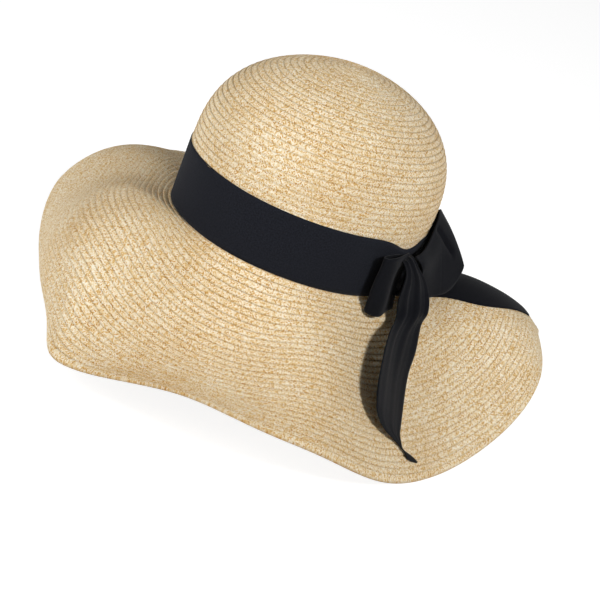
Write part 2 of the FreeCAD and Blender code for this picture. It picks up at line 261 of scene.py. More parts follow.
def rowMesh(name, here, across, outward, half, bulge, lift, replaced):
    # a row of straw: its cross-section carried along the places of the row
    reach = half[:, None] * bulge[None]
    rings = here[:, None] + across[:, None] * reach[..., None]
    rings = rings + outward[:, None] * np.broadcast_to(lift, reach.shape)[..., None]
    lengths = np.append(0, np.cumsum(np.linalg.norm(np.diff(here, axis=0), axis=1))) * 1000
    acrossUv = np.broadcast_to(bulge[None] * 0.5 + 0.5, reach.shape)
    faces, uvs = tubeMesh(rings, lengths, acrossUv)
    return addMesh(name, rings, faces, uvs, strawMaterial, "hat", replaced)


def braidStrip(name, point, azimuths, reaches, spacing, replaced, shape, sunk=0.0):
    # one long strip of braid laid along a surface, each turn lapping over the next
    here, across, outward, stretch = rowAxes(point, azimuths, reaches, shape["probe"])
    outward = outward * shape["side"]
    bulge, swell = sectionShape(shape["around"], rowSection["bulge"])
    half = stretch * spacing * shape["lap"] / 2
    lift = shape["thickness"] / 2 * swell[None] + shape["tilt"] * bulge[None]
    lift = lift - shape["thickness"] / 2 + shape["proud"]
    lift = lift - np.broadcast_to(sunk, azimuths.shape)[:, None]
    return rowMesh(name, here, across, outward, half, bulge, lift, replaced)


def smoothCurve(control, count):
    # a smooth curve through control points (rows), resampled to count rows
    control = np.asarray(control, float)
    n = len(control)
    knots = np.arange(n, dtype=float)
    bends = np.zeros_like(control)
    if n > 2:
        system = np.zeros((n, n))
        right = np.zeros_like(control)
        system[0, 0] = system[-1, -1] = 1
        for i in range(1, n - 1):
            system[i, i - 1:i + 2] = 1, 4, 1
            right[i] = 6 * (control[i + 1] - 2 * control[i] + control[i - 1])
        bends = np.linalg.solve(system, right.reshape(n, -1)).reshape(control.shape)
    t = np.linspace(0, n - 1, count)
    i = np.clip(t.astype(int), 0, n - 2)
    after = (t - knots[i]).reshape((-1,) + (1,) * (control.ndim - 1))
    before = 1 - after
    curved = (before ** 3 - before) * bends[i] + (after ** 3 - after) * bends[i + 1]
    return before * control[i] + after * control[i + 1] + curved / 6


def smoothPatch(control, rows, columns):
    control = smoothCurve(np.asarray(control, float), rows)
    return np.moveaxis(smoothCurve(np.moveaxis(control, 1, 0), columns), 0, 1)


def patchNormals(grid, closed=False):
    rowStep = np.gradient(grid, axis=0)
    if closed:
        columnStep = np.roll(grid, -1, 1) - np.roll(grid, 1, 1)
    else:
        columnStep = np.gradient(grid, axis=1)
    return unit(np.cross(rowStep, columnStep))


def clothPiece(name, grid, thickness, body, replaced, material, closed=False):
    # a sheet of cloth with both faces and its edges, columns running across or round it
    rows, columns = grid.shape[:2]
    normals = patchNormals(grid, closed)
    points = np.concatenate(
        [(grid + normals * thickness / 2)[None], (grid - normals * thickness / 2)[None]]
    )
    rowLength = np.append(0, np.cumsum(np.linalg.norm(np.diff(grid, axis=0), axis=-1).mean(1)))
    wrapped = np.concatenate([grid, grid[:, :1]], 1) if closed else grid
    steps = np.linalg.norm(np.diff(wrapped, axis=1), axis=-1)
    columnLength = np.concatenate([np.zeros((rows, 1)), np.cumsum(steps, 1)], 1)
    uRow = rowLength * 1000
    uColumn = columnLength * 1000
    around = columns if closed else columns - 1
    i, j = np.meshgrid(np.arange(rows - 1), np.arange(around), indexing="ij")
    nextJ = (j + 1) % columns
    layer = rows * columns
    front = np.stack([i * columns + j, (i + 1) * columns + j, (i + 1) * columns + nextJ,
                      i * columns + nextJ], -1)
    uvFront = np.stack([
        np.stack([uRow[i], uColumn[i, j]], -1), np.stack([uRow[i + 1], uColumn[i + 1, j]], -1),
        np.stack([uRow[i + 1], uColumn[i + 1, j + 1]], -1),
        np.stack([uRow[i], uColumn[i, j + 1]], -1),
    ], -2)
    faces = [front.reshape(-1, 4), (front[..., ::-1] + layer).reshape(-1, 4)]
    uvs = [uvFront.reshape(-1, 2), uvFront[..., ::-1, :].reshape(-1, 2)]

    def addRim(first, second, firstUv, secondUv, flip):
        rim = np.stack([first, second, second + layer, first + layer], -1)
        rimUv = np.stack([firstUv, secondUv, secondUv, firstUv], -2)
        if flip:
            rim, rimUv = rim[:, ::-1], rimUv[:, ::-1]
        faces.append(rim)
        uvs.append(rimUv.reshape(-1, 2))

    j = np.arange(around)
    for i, flip in ((0, False), (rows - 1, True)):
        addRim(i * columns + j, i * columns + (j + 1) % columns,
               np.stack([uRow[i] + 0 * j, uColumn[i, j]], -1),
               np.stack([uRow[i] + 0 * j, uColumn[i, j + 1]], -1), flip)
    if not closed:
        i = np.arange(rows - 1)
        for j, flip in ((0, True), (columns - 1, False)):
            addRim(i * columns + j, (i + 1) * columns + j,
                   np.stack([uRow[i], uColumn[i, j]], -1),
                   np.stack([uRow[i + 1], uColumn[i + 1, j]], -1), flip)
    return addMesh(name, points, np.concatenate(faces), np.concatenate(uvs), material, body,
                   replaced)


# ---- node tools ----

def colour(red, green, blue):
    # a plain 0 to 255 colour as the linear values that shaders use
    return tuple(((c / 255 + 0.055) / 1.055) ** 2.4 if c > 10 else c / 3295 for c in
                 (red, green, blue)) + (1.0,)


def addNode(tree, kind, **settings):
    node = tree.nodes.new(kind)
    for key, value in settings.items():
        setattr(node, key, value)
    return node


def calc(tree, operation, first, second=None, third=None):
    node = addNode(tree, "ShaderNodeMath", operation=operation)
    for i, value in enumerate((first, second, third)):
        if value is None:
            continue
        if isinstance(value, (int, float)):
            node.inputs[i].default_value = value
        else:
            tree.links.new(value, node.inputs[i])
    return node.outputs[0]


def mixColour(tree, factor, first, second, blend="MIX"):
    node = addNode(tree, "ShaderNodeMix", data_type="RGBA", blend_type=blend)
    for place, value in ((0, factor), (6, first), (7, second)):
        socket = node.inputs[place]
        if isinstance(value, (int, float, tuple)):
            socket.default_value = value
        else:
            tree.links.new(value, socket)
    return node.outputs[2]


def newGroup(name, inputs, outputs):
    group = bpy.data.node_groups.new(name, "ShaderNodeTree")
    for label, kind, value in inputs:
        socket = group.interface.new_socket(name=label, in_out="INPUT", socket_type=kind)
        socket.default_value = value
    for label, kind in outputs:
        group.interface.new_socket(name=label, in_out="OUTPUT", socket_type=kind)
    return group, group.nodes.new("NodeGroupInput"), group.nodes.new("NodeGroupOutput")


def rampColours(tree, factor, stops):
    node = addNode(tree, "ShaderNodeValToRGB")
    elements = node.color_ramp.elements
    while len(elements) < len(stops):
        elements.new(0.5)
    for element, (place, value) in zip(elements, stops):
        element.position = place
        element.color = value
    tree.links.new(factor, node.inputs[0])
    return node.outputs[0]


plait = {
    "cellLength": 1.05,      # millimetres along the row from one crossing to the next
    "cellsAcross": 10.0,     # strands laid side by side over the width of one row
    "rounding": 0.45,        # how round a strand is
    "under": 0.55,           # height of a strand where it dips, and its rise to the crossing
    "over": 0.45,
    "cellTone": 0.78,        # how much tone belongs to one crossing and how much to a whole strand
    "strandTone": 0.22,
    "fibresAlong": 3.0,
    "fibresAcross": 26.0,
    "fibreTone": 0.5,
    "fibreHeight": 0.12,
    "tones": [
        (0.0, colour(182, 128, 48)), (0.14, colour(210, 164, 84)), (0.28, colour(226, 195, 138)),
        (0.42, colour(236, 216, 176)), (0.60, colour(242, 229, 202)), (0.80, colour(250, 243, 228)),
        (1.0, colour(255, 253, 248)),
    ],
    # painted shade: strands turn darker where they dip under the crossing strand, as shade in the
    # hollows of the plait
    "paintedDipShades": [
        (0.0, (0.40, 0.31, 0.19, 1)), (0.40, (0.87, 0.83, 0.76, 1)), (0.8, (1, 1, 1, 1)),
    ],
}


def strandOver(group, ownRound, otherRound):
    # height of a strand over its own width, highest where it crosses over the other one
    soft = calc(group, "POWER", ownRound, plait["rounding"])
    rise = calc(group, "MULTIPLY_ADD", otherRound, plait["over"], plait["under"])
    return calc(group, "MULTIPLY", soft, rise)


def makePlaitGroup():
    # strands that cross at a low angle, over and under, each crossing with its own tone and painted
    # shade where a strand dips under
    group, into, out = newGroup(
        "plaitedStraw",
        [("Along", "NodeSocketFloat", 0.0), ("Across", "NodeSocketFloat", 0.0),
         ("CellLength", "NodeSocketFloat", 4.0), ("CellsAcross", "NodeSocketFloat", 3.0)],
        [("Colour", "NodeSocketColor"), ("Height", "NodeSocketFloat"),
         ("Edge", "NodeSocketFloat")],
    )
    along = calc(group, "DIVIDE", into.outputs["Along"], into.outputs["CellLength"])
    across = calc(group, "MULTIPLY", into.outputs["Across"], into.outputs["CellsAcross"])
    across = calc(group, "MULTIPLY", across, 0.5)
    right = calc(group, "ADD", along, across)
    left = calc(group, "SUBTRACT", along, across)
    rightCell = calc(group, "FLOOR", right)
    leftCell = calc(group, "FLOOR", left)
    rightPart = calc(group, "FRACT", right)
    leftPart = calc(group, "FRACT", left)
    parity = calc(group, "PINGPONG", calc(group, "ADD", rightCell, leftCell), 1.0)
    rightRound = calc(group, "SINE", calc(group, "MULTIPLY", rightPart, math.pi))
    leftRound = calc(group, "SINE", calc(group, "MULTIPLY", leftPart, math.pi))
    height = addNode(group, "ShaderNodeMix", data_type="FLOAT")
    group.links.new(parity, height.inputs[0])
    group.links.new(strandOver(group, rightRound, leftRound), height.inputs[2])
    group.links.new(strandOver(group, leftRound, rightRound), height.inputs[3])
    cell = addNode(group, "ShaderNodeCombineXYZ")
    group.links.new(rightCell, cell.inputs[0])
    group.links.new(leftCell, cell.inputs[1])
    tone = addNode(group, "ShaderNodeTexWhiteNoise", noise_dimensions="3D")
    group.links.new(cell.outputs[0], tone.inputs["Vector"])
    # long streaks: one strand keeps its tone over several crossings
    strand = addNode(group, "ShaderNodeCombineXYZ")
    strandCell = addNode(group, "ShaderNodeMix", data_type="FLOAT")
    group.links.new(parity, strandCell.inputs[0])
    group.links.new(rightCell, strandCell.inputs[2])
    group.links.new(leftCell, strandCell.inputs[3])
    group.links.new(strandCell.outputs[0], strand.inputs[0])
    group.links.new(parity, strand.inputs[1])
    strandTone = addNode(group, "ShaderNodeTexWhiteNoise", noise_dimensions="2D")
    group.links.new(strand.outputs[0], strandTone.inputs["Vector"])
    mixed = calc(group, "ADD", calc(group, "MULTIPLY", tone.outputs[0], plait["cellTone"]),
                 calc(group, "MULTIPLY", strandTone.outputs[0], plait["strandTone"]))
    # fine fibres along the strands
    fibrePlace = addNode(group, "ShaderNodeCombineXYZ")
    group.links.new(calc(group, "MULTIPLY", along, plait["fibresAlong"]), fibrePlace.inputs[0])
    group.links.new(calc(group, "MULTIPLY", across, plait["fibresAcross"]), fibrePlace.inputs[1])
    fibre = addNode(group, "ShaderNodeTexNoise", noise_dimensions="2D")
    fibre.inputs["Scale"].default_value = 1.0
    fibre.inputs["Detail"].default_value = 2.0
    group.links.new(fibrePlace.outputs[0], fibre.inputs["Vector"])
    fibreOffset = calc(group, "SUBTRACT", fibre.outputs[0], 0.5)
    mixed = calc(group, "MULTIPLY_ADD", fibreOffset, plait["fibreTone"], mixed)
    tones = rampColours(group, mixed, plait["tones"])
    # painted shade in the plait's dips, multiplied into the strand tones
    paintedDipShade = rampColours(group, height.outputs[0], plait["paintedDipShades"])
    group.links.new(mixColour(group, 1.0, tones, paintedDipShade, "MULTIPLY"), out.inputs["Colour"])
    relief = calc(group, "MULTIPLY_ADD", fibre.outputs[0], plait["fibreHeight"], height.outputs[0])
    group.links.new(relief, out.inputs["Height"])
    edge = calc(group, "ABSOLUTE", calc(group, "SUBTRACT", into.outputs["Across"], 0.5))
    group.links.new(calc(group, "MULTIPLY", edge, 2.0), out.inputs["Edge"])
    return group


def newMaterial(name):
    material = bpy.data.materials.new(name)
    material.use_nodes = True
    material.node_tree.nodes.clear()
    tree = material.node_tree
    shader = addNode(tree, "ShaderNodeBsdfPrincipled")
    output = addNode(tree, "ShaderNodeOutputMaterial")
    tree.links.new(shader.outputs[0], output.inputs[0])
    return material, tree, shader


plaitGroup = makePlaitGroup()


def addBump(tree, shader, height, strength, depth, invert=False):
    bump = addNode(tree, "ShaderNodeBump", invert=invert)
    bump.inputs["Strength"].default_value = strength
    bump.inputs["Distance"].default_value = depth
    tree.links.new(height, bump.inputs["Height"])
    tree.links.new(bump.outputs[0], shader.inputs["Normal"])


strawLook = {
    "roughness": 0.72,
    "specular": 0.3,
    "bumpStrength": 0.8,
    "bumpDepth": 0.00035,
    "patchScale": 22.0,
    "patchDetail": 3.0,
    "patchTints": [(0.3, colour(244, 236, 222)), (0.7, colour(255, 254, 250))],
    # painted shade in the grooves between rows: tones towards the laps and how much of them is
    # mixed in
    "lapShadeTones": [(0.50, (1, 1, 1, 1)), (0.97, (0.58, 0.49, 0.38, 1))],
    "lapShadeShare": 0.6,
}


def makeStraw():
    material, tree, shader = newMaterial("sewnStraw")
    place = addNode(tree, "ShaderNodeUVMap", uv_map="clothMap")
    parts = addNode(tree, "ShaderNodeSeparateXYZ")
    tree.links.new(place.outputs[0], parts.inputs[0])
    weave = addNode(tree, "ShaderNodeGroup")
    weave.node_tree = plaitGroup
    tree.links.new(parts.outputs[0], weave.inputs["Along"])
    tree.links.new(parts.outputs[1], weave.inputs["Across"])
    weave.inputs["CellLength"].default_value = plait["cellLength"]
    weave.inputs["CellsAcross"].default_value = plait["cellsAcross"]
    # broad patches a little darker or more golden
    around = addNode(tree, "ShaderNodeTexCoord")
    patches = addNode(tree, "ShaderNodeTexNoise", noise_dimensions="3D")
    patches.inputs["Scale"].default_value = strawLook["patchScale"]
    patches.inputs["Detail"].default_value = strawLook["patchDetail"]
    tree.links.new(around.outputs["Object"], patches.inputs["Vector"])
    tint = rampColours(tree, patches.outputs[0], strawLook["patchTints"])
    base = mixColour(tree, 1.0, weave.outputs["Colour"], tint, "MULTIPLY")
    # painted shade: each row darkens towards its laps, where the groove between two rows lies in
    # shade
    lap = rampColours(tree, weave.outputs["Edge"], strawLook["lapShadeTones"])
    lapShaded = mixColour(tree, 1.0, base, lap, "MULTIPLY")
    base = mixColour(tree, strawLook["lapShadeShare"], base, lapShaded)
    tree.links.new(base, shader.inputs["Base Color"])
    shader.inputs["Roughness"].default_value = strawLook["roughness"]
    shader.inputs["Specular IOR Level"].default_value = strawLook["specular"]
    addBump(tree, shader, weave.outputs["Height"], strawLook["bumpStrength"],
            strawLook["bumpDepth"])
    return material


ribbonLook = {
    "ribScale": 0.42,
    "noiseScale": 0.9,
    "noiseDetail": 4.0,
    "noiseHeight": 0.5,
    "roughness": 0.9,
    "specular": 0.09,
    "sheen": 0.05,
    "sheenRoughness": 0.45,
    "bumpStrength": 0.5,
    "bumpDepth": 0.00012,
    # the darker and the lighter tone of the band, and of the bow: the bow is the same cloth painted
    # darker, as painted shade
    "band": (colour(17, 19, 25), colour(26, 28, 35)),
    "bow": (colour(7, 8, 12), colour(12, 13, 18)),
}


def makeRibbon(name, dark, light):
    material, tree, shader = newMaterial(name)
    place = addNode(tree, "ShaderNodeUVMap", uv_map="clothMap")
    wave = addNode(tree, "ShaderNodeTexWave", wave_type="BANDS", bands_direction="Y")
    wave.inputs["Scale"].default_value = ribbonLook["ribScale"]
    wave.inputs["Distortion"].default_value = 0.0
    tree.links.new(place.outputs[0], wave.inputs["Vector"])
    noise = addNode(tree, "ShaderNodeTexNoise", noise_dimensions="2D")
    noise.inputs["Scale"].default_value = ribbonLook["noiseScale"]
    noise.inputs["Detail"].default_value = ribbonLook["noiseDetail"]
    tree.links.new(place.outputs[0], noise.inputs["Vector"])
    tones = rampColours(tree, noise.outputs[0], [(0.3, dark), (0.7, light)])
    tree.links.new(tones, shader.inputs["Base Color"])
    shader.inputs["Roughness"].default_value = ribbonLook["roughness"]
    shader.inputs["Specular IOR Level"].default_value = ribbonLook["specular"]
    shader.inputs["Sheen Weight"].default_value = ribbonLook["sheen"]
    shader.inputs["Sheen Roughness"].default_value = ribbonLook["sheenRoughness"]
    height = calc(tree, "MULTIPLY_ADD", noise.outputs[0], ribbonLook["noiseHeight"],
                  wave.outputs["Fac"])
    addBump(tree, shader, height, ribbonLook["bumpStrength"], ribbonLook["bumpDepth"])
    return material


tapeLook = {
    "scale": 0.9,
    "tones": (colour(214, 197, 168), colour(203, 184, 152)),
    "gapTone": colour(160, 140, 108),
    "gapWidth": 0.06,
    "roughness": 0.85,
    "bumpStrength": 0.4,
    "bumpDepth": 0.0002,
}


def makeTape():
    material, tree, shader = newMaterial("cottonTape")
    place = addNode(tree, "ShaderNodeUVMap", uv_map="clothMap")
    weave = addNode(tree, "ShaderNodeTexBrick")
    weave.inputs["Scale"].default_value = tapeLook["scale"]
    weave.inputs["Color1"].default_value = tapeLook["tones"][0]
    weave.inputs["Color2"].default_value = tapeLook["tones"][1]
    weave.inputs["Mortar"].default_value = tapeLook["gapTone"]
    weave.inputs["Mortar Size"].default_value = tapeLook["gapWidth"]
    tree.links.new(place.outputs[0], weave.inputs["Vector"])
    tree.links.new(weave.outputs["Color"], shader.inputs["Base Color"])
    shader.inputs["Roughness"].default_value = tapeLook["roughness"]
    addBump(tree, shader, weave.outputs["Fac"], tapeLook["bumpStrength"], tapeLook["bumpDepth"],
            invert=True)
    return material


strawMaterial = makeStraw()
ribbonMaterial = makeRibbon("ribbonTwill", *ribbonLook["band"])
# painted shade: the knot, loops and tails take a darker copy of the band's cloth
bowShadedMaterial = makeRibbon("bowTwillShaded", *ribbonLook["bow"])
tapeMaterial = makeTape()
print("materials made")

# ---- straw: one long braid, sewn round and round ----

brimBraid = {"around": 10, "perTurn": 260, "lap": 1.22, "thickness": 0.0013, "tilt": 0.0004,
             "proud": 0.0006, "probe": 0.004, "side": 1.0, "start": 150, "underHem": 0.8}
closing = {"depth": 0.0007, "ramp": 0.02}


def closingTurns(turns, first, last):
    # the turns before the first and after the last lie a little under the ones beside them
    away = np.maximum(first - turns, turns - last)
    return closing["depth"] * np.clip(away / closing["ramp"] + 1, 0, 1)


def layBrim():
    # one spare turn at each end fills the step that a spiral leaves
    reachEnd = 1 - hat["hemWidth"] / hat["brimWidth"] * brimBraid["underHem"]
    rows = round(reachEnd * hat["brimWidth"] / hat["rowPitch"])
    turns = np.linspace(-1, rows + 1, (rows + 2) * brimBraid["perTurn"] + 1)
    azimuths = turns * 360 + brimBraid["start"]
    reaches = reachEnd * np.clip(turns / rows, 0, 1)
    sunk = closingTurns(turns, -closing["ramp"], rows + closing["ramp"])
    braidStrip("brimRows", brimPoint, azimuths, reaches, reachEnd / rows, ["brim"], brimBraid,
               sunk)


crownBraid = {"around": 10, "perTurn": 220, "lap": 1.22, "thickness": 0.0015, "tilt": 0.00035,
              "proud": 0.0006, "probe": 0.0008, "side": -1.0, "start": 20, "seat": 1.02}


def layCrown():
    seat = crownLength - hat["buttonRadius"] * crownBraid["seat"]
    rows = round(seat / hat["rowPitch"])
    turns = np.linspace(0, rows + 1, (rows + 1) * crownBraid["perTurn"] + 1)
    alongs = seat * (1 - np.clip(turns / rows, 0, 1))
    azimuths = turns * 360 + crownBraid["start"]
    sunk = closingTurns(turns, -1, rows + closing["ramp"])
    braidStrip("crownRows", crownPoint, azimuths, alongs, seat / rows, ["crown"], crownBraid,
               sunk)


buttonBraid = dict(crownBraid, perTurn=90, seat=1.1, rows=2, tip=0.97)


def layButton():
    rows = buttonBraid["rows"]
    start = crownLength - hat["buttonRadius"] * buttonBraid["seat"]
    turns = np.linspace(0, rows, rows * buttonBraid["perTurn"] + 1)
    alongs = start + (crownLength - start) * np.clip(turns / rows, 0, buttonBraid["tip"])
    azimuths = buttonBraid["start"] - turns * 360
    braidStrip("buttonRows", crownPoint, azimuths, alongs, (crownLength - start) / rows,
               ["crown_button"], buttonBraid)


hem = {"around": 12, "columns": 420, "thickness": 0.0030, "rounding": 0.62, "sink": 0.001,
       "probe": 0.01}


def layHem():
    azimuths = np.linspace(0, 360, hem["columns"] + 1)
    width = hat["hemWidth"] / hat["brimWidth"]
    here, across, outward, stretch = rowAxes(brimPoint, azimuths, 1 - width / 2, hem["probe"])
    bulge, swell = sectionShape(hem["around"], hem["rounding"])
    lift = hem["thickness"] / 2 * swell[None] - hem["sink"]
    rowMesh("hemRow", here, across, outward, stretch * width / 2, bulge, lift, ["brim_edge"])


layBrim()
layCrown()
layButton()
layHem()
print("straw laid")

# ---- ribbon band and sweatband ----

band = {"lift": 0.001, "width": 0.042, "thickness": 0.0006, "clear": 0.0008, "columns": 360,
        "levels": 15, "bowAzimuth": -8.0, "dip": 0.007, "rise": 0.004, "gather": 11.0,
        "wave": 0.0003, "waves": 7, "waveFoot": 0.4, "crease": 0.0016, "creases": 5}


def layBand():
    # the band narrows and creases where the bow gathers it
    azimuths = np.arange(band["columns"]) * 360 / band["columns"]
    level = np.linspace(0, 1, band["levels"])[:, None]
    nearBow = nearAzimuth(azimuths, band["bowAzimuth"], band["gather"])
    low = band["lift"] + band["rise"] * nearBow
    high = band["lift"] + band["width"] - band["dip"] * nearBow
    wave = band["wave"] * np.sin(np.radians(azimuths * band["waves"])) * (band["waveFoot"] + level)
    creases = np.sin(level * math.pi * band["creases"]) ** 2
    wave = wave + band["crease"] * nearBow * creases
    point = ovalPoint(azimuths + 0 * level, band["clear"] + wave)[0]
    point[..., 2] = low + (high - low) * level + openingHeight(point[..., 0], point[..., 1])
    piece = clothPiece("ribbonWrap", point, band["thickness"], "hat", ["ribbon_band"],
                       ribbonMaterial, closed=True)


sweat = {"lift": 0.002, "height": 0.027, "thickness": 0.0008, "clear": -0.0029, "columns": 180,
         "levels": 7}


def laySweatband():
    azimuths = np.arange(sweat["columns"]) * 360 / sweat["columns"]
    level = np.linspace(0, 1, sweat["levels"])[:, None]
    point = ovalPoint(azimuths + 0 * level, sweat["clear"] + 0 * level * azimuths)[0]
    fall = openingHeight(point[..., 0], point[..., 1])
    point[..., 2] = sweat["lift"] + sweat["height"] * level + fall
    piece = clothPiece("sweatTape", point, sweat["thickness"], "hat", ["sweatband"],
                       tapeMaterial, closed=True)


layBand()
laySweatband()
print("bands laid")

# ---- bow: knot, two loops and two tails, in axes that start at the knot's middle ----

bowLow, bowHigh = (np.array(corner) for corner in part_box("bow_knot"))
bowMiddle = (bowLow + bowHigh) / 2
bowOut = ovalPoint(band["bowAzimuth"])[1]
bowAxes = np.stack([bowOut, (-bowOut[1], bowOut[0], 0), (0, 0, 1)])


def bowSpot(places):
    # millimetres out from the crown, along it to the back, and up, as a point of the frame
    return bowMiddle + np.asarray(places, float) @ bowAxes / 1000


def brimSpot(azimuth, reach, clear, probe=0.01):
    # a point over the brim's upper face, clear in millimetres
    here = brimPoint(azimuth, reach)
    outStep = brimPoint(azimuth, reach + probe) - here
    aroundStep = brimPoint(azimuth + 1, reach) - brimPoint(azimuth - 1, reach)
    return here + unit(np.cross(outStep, aroundStep)) * (np.asarray(clear)[..., None] / 1000)


def pushed(grid, amount):
    # every point moved along the sheet's own normal, amount in millimetres
    return grid + patchNormals(grid) * (np.asarray(amount)[..., None] / 1000)


def softStep(low, high, value):
    share = np.clip((value - low) / (high - low), 0, 1)
    return share * share * (3 - 2 * share)


knotCloth = {"rows": 13, "columns": 64, "depth": 9.0, "height": 25.0, "length": 13.0,
             "shift": (-0.4, -2.5, -3.0), "rounding": 0.42, "pleat": 0.35, "pleats": 9,
             "thickness": 0.0006, "flat": (0.0135, 0.066)}


def layKnot():
    turn = np.linspace(0, 2 * math.pi, knotCloth["columns"], endpoint=False)[None]
    level = np.linspace(-1, 1, knotCloth["rows"])[:, None]
    pleats = knotCloth["pleat"] * np.sin(level * knotCloth["pleats"]) * (1 - level ** 4)
    out = (knotCloth["depth"] / 2 + pleats) * signedPower(np.cos(turn), knotCloth["rounding"])
    up = (knotCloth["height"] / 2 + pleats) * signedPower(np.sin(turn), knotCloth["rounding"])
    along = level * knotCloth["length"] / 2 + 0 * turn
    grid = bowSpot(np.stack([out, along, up], -1) + knotCloth["shift"])
    piece = clothPiece("knotWrap", grid, knotCloth["thickness"], "hat", ["bow_knot"],
                       bowShadedMaterial, closed=True)


# each loop: rows from the knot along the outer layer, round the fold and back along the inner one,
# each row from the upper edge to the lower edge
frontLoop = {
    "rows": [
        [(-1.5, -6, 14.6), (-1.6, -6, -2.0), (2.6, -6, -25.5)],
        [(0.6, -17, 15.2), (0.4, -17, -5.0), (3.0, -16, -27.0)],
        [(1.8, -28, 15.4), (4.4, -28, -8.0), (4.4, -26, -28.0)],
        [(0.2, -35.2, 14.2), (0.6, -35.0, -8.0), (0.2, -33.6, -27.0)],
        [(-3.4, -35.4, 13.4), (-3.4, -35.2, -8.0), (-3.6, -33.8, -26.2)],
        [(-5.0, -29, 13.2), (-5.2, -29, -7.0), (-5.2, -28, -24.0)],
        [(-4.0, -18, 13.4), (-4.0, -18, -4.0), (-4.0, -18, -19.5)],
        [(-2.4, -8, 12.6), (-2.6, -8, 0.0), (-2.4, -8, -14.0)],
    ],
    "size": (64, 22),
    # the raised fold by the knot: where it starts, how it slants, its width, fade and height
    "fold": {"start": 0.10, "slant": 0.35, "width": 0.06, "fade": 0.22, "height": 1.2},
    "wave": {"height": 0.25, "across": 9, "along": 5},
    "thickness": 0.0006,
    "flat": (0.042, 0.078),
}
backLoop = {
    "rows": [
        [(2.6, -3.0, 13.2), (8.0, 5.4, 4.0), (8.6, 8.0, -15.0)],
        [(2.0, 7.0, 15.0), (7.6, 12.0, 4.0), (10.5, 15.0, -16.0)],
        [(-3.0, 23, 20.0), (5.0, 26, 5.0), (12.0, 27, -16.0)],
        [(-11.0, 41, 30.5), (-1.0, 45, 16.0), (14.5, 41, -14.5)],
        [(-19.0, 57, 32.0), (-1.0, 58, 17.0), (13.5, 56, -9.0)],
        [(-22.6, 66.6, 29.5), (-0.5, 66.4, 13.0), (10.4, 66.6, 0.5)],
        [(-24.4, 66.4, 27.5), (-3.6, 66.0, 12.0), (7.6, 66.0, 0.0)],
        [(-19.8, 55, 24.5), (-8.0, 55, 11.0), (6.5, 54, -8.0)],
        [(-12.4, 41, 20.0), (-8.0, 42, 9.0), (4.0, 40, -12.0)],
        [(-6.4, 24, 12.5), (-4.5, 24, 2.0), (1.5, 24, -14.0)],
        [(-3.2, 9, 11.0), (-3.2, 9, 0.0), (-3.0, 9, -13.5)],
    ],
    "size": (96, 30),
    # the crease in the outer layer: its two ends along and up, its spread and its depth
    "crease": {"ends": ((38.0, 24.0), (54.0, 10.0)), "spread": 1.7, "depth": 3.2,
               "outer": (0.40, 0.50)},
    "wave": {"height": 0.5, "across": 11, "start": 1.0, "fade": 0.3, "rise": 0.05},
    "thickness": 0.0006,
    "flat": (0.042, 0.152),
}


def layFrontLoop():
    rows, columns = frontLoop["size"]
    share = np.linspace(0, 1, columns)[None]
    near = np.linspace(0, 1, rows)[:, None]
    fold, wave = frontLoop["fold"], frontLoop["wave"]
    away = share - fold["start"] - fold["slant"] * near
    raised = np.exp(-(away / fold["width"]) ** 2) * np.exp(-(near / fold["fade"]) ** 2)
    waves = wave["height"] * np.sin(share * wave["across"] + near * wave["along"])
    grid = bowSpot(smoothPatch(frontLoop["rows"], rows, columns))
    grid = pushed(grid, fold["height"] * raised + waves)
    piece = clothPiece("loopFront", grid, frontLoop["thickness"], "hat", ["bow_front_loop"],
                       bowShadedMaterial)


def layBackLoop():
    rows, columns = backLoop["size"]
    share = np.linspace(0, 1, columns)[None]
    near = np.linspace(0, 1, rows)[:, None]
    grid = smoothPatch(backLoop["rows"], rows, columns)
    crease, wave = backLoop["crease"], backLoop["wave"]
    start, end = np.array(crease["ends"])
    run = end - start
    offset = grid[..., 1:] - start
    place = np.clip((offset @ run) / (run @ run), 0, 1)
    away = np.linalg.norm(offset - place[..., None] * run, axis=-1)
    groove = np.exp(-(away / crease["spread"]) ** 2) * (1 - softStep(*crease["outer"], near))
    grid[..., 0] -= crease["depth"] * groove
    waves = wave["height"] * np.sin(share * wave["across"] + wave["start"])
    waves = waves * np.exp(-(near / wave["fade"]) ** 2) * softStep(0, wave["rise"], near)
    piece = clothPiece("loopBack", pushed(bowSpot(grid), waves), backLoop["thickness"], "hat",
                       ["bow_back_loop"], bowShadedMaterial)


